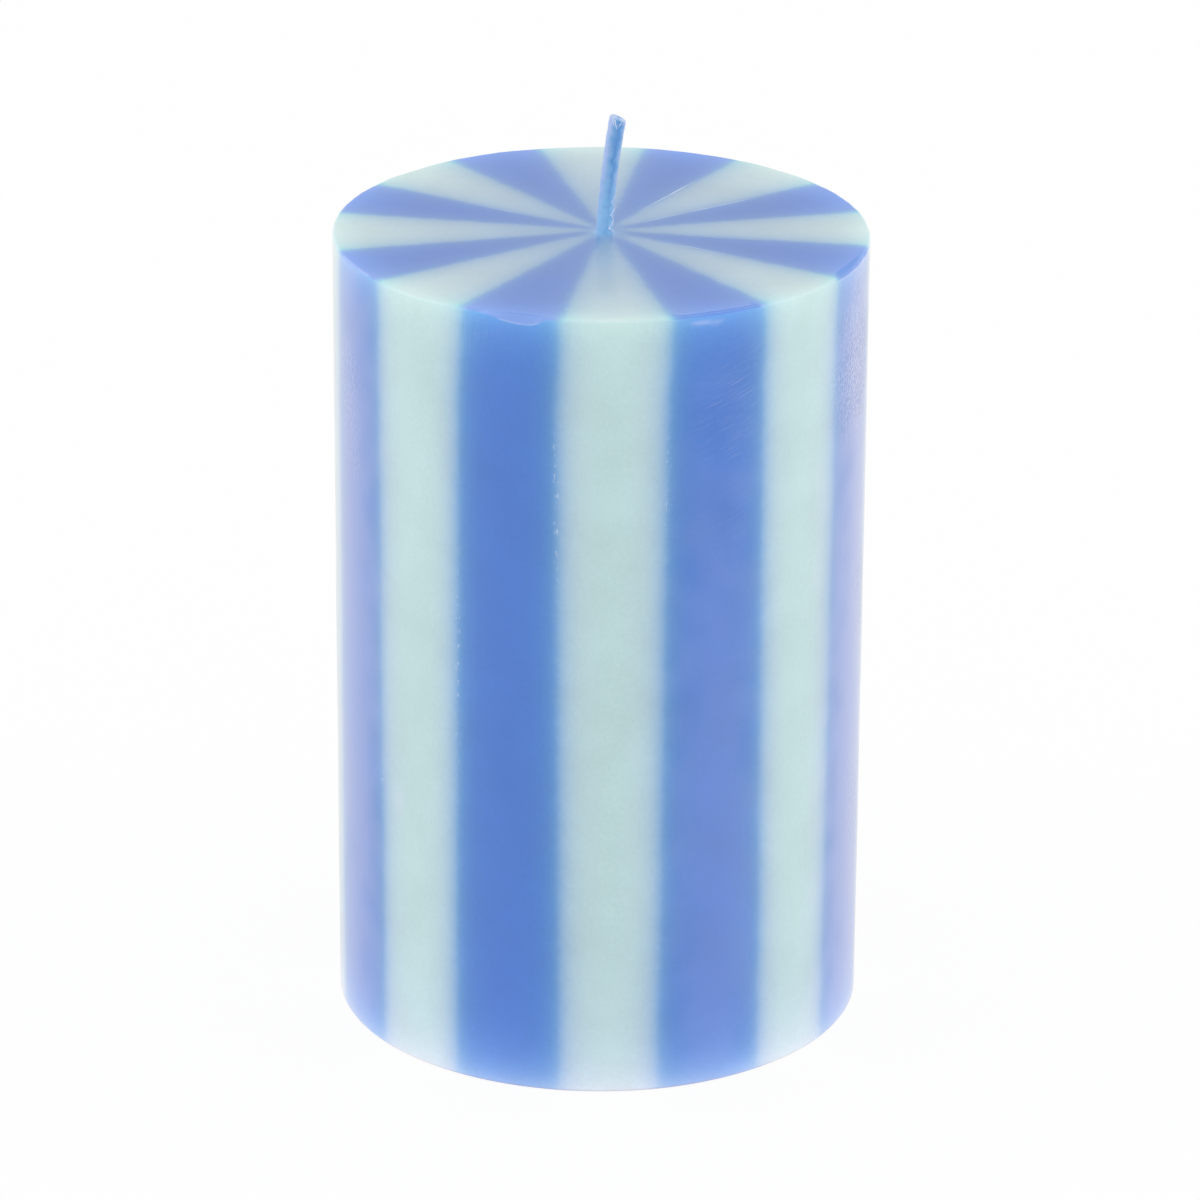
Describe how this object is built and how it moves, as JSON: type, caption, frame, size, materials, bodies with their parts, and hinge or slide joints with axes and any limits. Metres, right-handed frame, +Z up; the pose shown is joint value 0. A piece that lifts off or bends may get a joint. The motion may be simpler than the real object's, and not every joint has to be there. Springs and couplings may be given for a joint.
{
  "type": "pillar candle",
  "caption": "Cylindrical wax pillar candle of alternating blue and mint wedges round a poured core, with a plaited wick and a steel wick tab.",
  "frame": {"origin": "centre of the candle's flat base", "axes": "+Z up along the wax body, front of the candle towards -Y, wick leaning towards +X"},
  "size_m": [0.065, 0.065, 0.1153],
  "materials": {
    "blue_wax": "satin, dyed through",
    "mint_wax": "satin, dyed through",
    "core_wax": "satin, poured",
    "waxed_cotton": "plaited and wax coated",
    "tinned_steel": "bright tinned, stamped"
  },
  "bodies": {
    "root": {"mint_wedge_1": "mint_wax", "mint_wedge_2": "mint_wax", "mint_wedge_3": "mint_wax", "mint_wedge_4": "mint_wax", "mint_wedge_5": "mint_wax", "mint_wedge_6": "mint_wax", "mint_wedge_7": "mint_wax", "mint_wedge_8": "mint_wax", "blue_wedge_1": "blue_wax", "blue_wedge_2": "blue_wax", "blue_wedge_3": "blue_wax", "blue_wedge_4": "blue_wax", "blue_wedge_5": "blue_wax", "blue_wedge_6": "blue_wax", "blue_wedge_7": "blue_wax", "blue_wedge_8": "blue_wax", "wick_core": "core_wax", "wick": "waxed_cotton", "wick_tab": "tinned_steel"}
  },
  "joints": []
}
